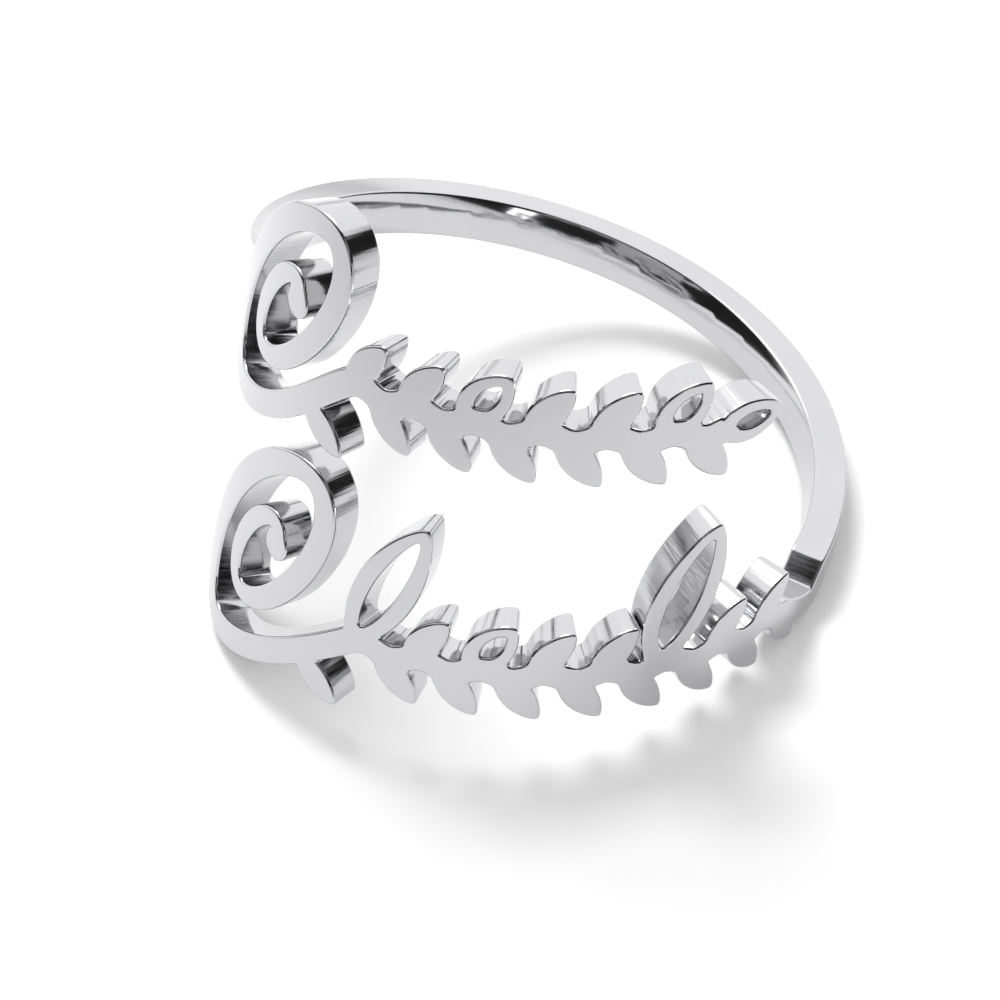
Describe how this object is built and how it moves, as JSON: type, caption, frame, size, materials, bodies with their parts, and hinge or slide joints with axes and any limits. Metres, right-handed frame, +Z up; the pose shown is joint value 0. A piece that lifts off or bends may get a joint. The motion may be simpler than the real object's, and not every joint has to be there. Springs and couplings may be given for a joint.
{
  "type": "open wrap ring",
  "caption": "Open finger ring rolled from one flat strip: a plain band whose two pierced leafy ends, each with a spiral volute, pass each other at the front.",
  "frame": {"origin": "on the table, under the middle of the ring's box as it lies tilted at rest", "axes": "+Z up from the table, -Y towards the two ornamented rows, +X to the right of a viewer who faces them; the finger hole's axis leans back and to the right from +Z"},
  "size_m": [0.0196, 0.0206, 0.0161],
  "materials": {
    "silver": "polished"
  },
  "bodies": {
    "root": {"scroll_ring": "silver"}
  },
  "joints": []
}
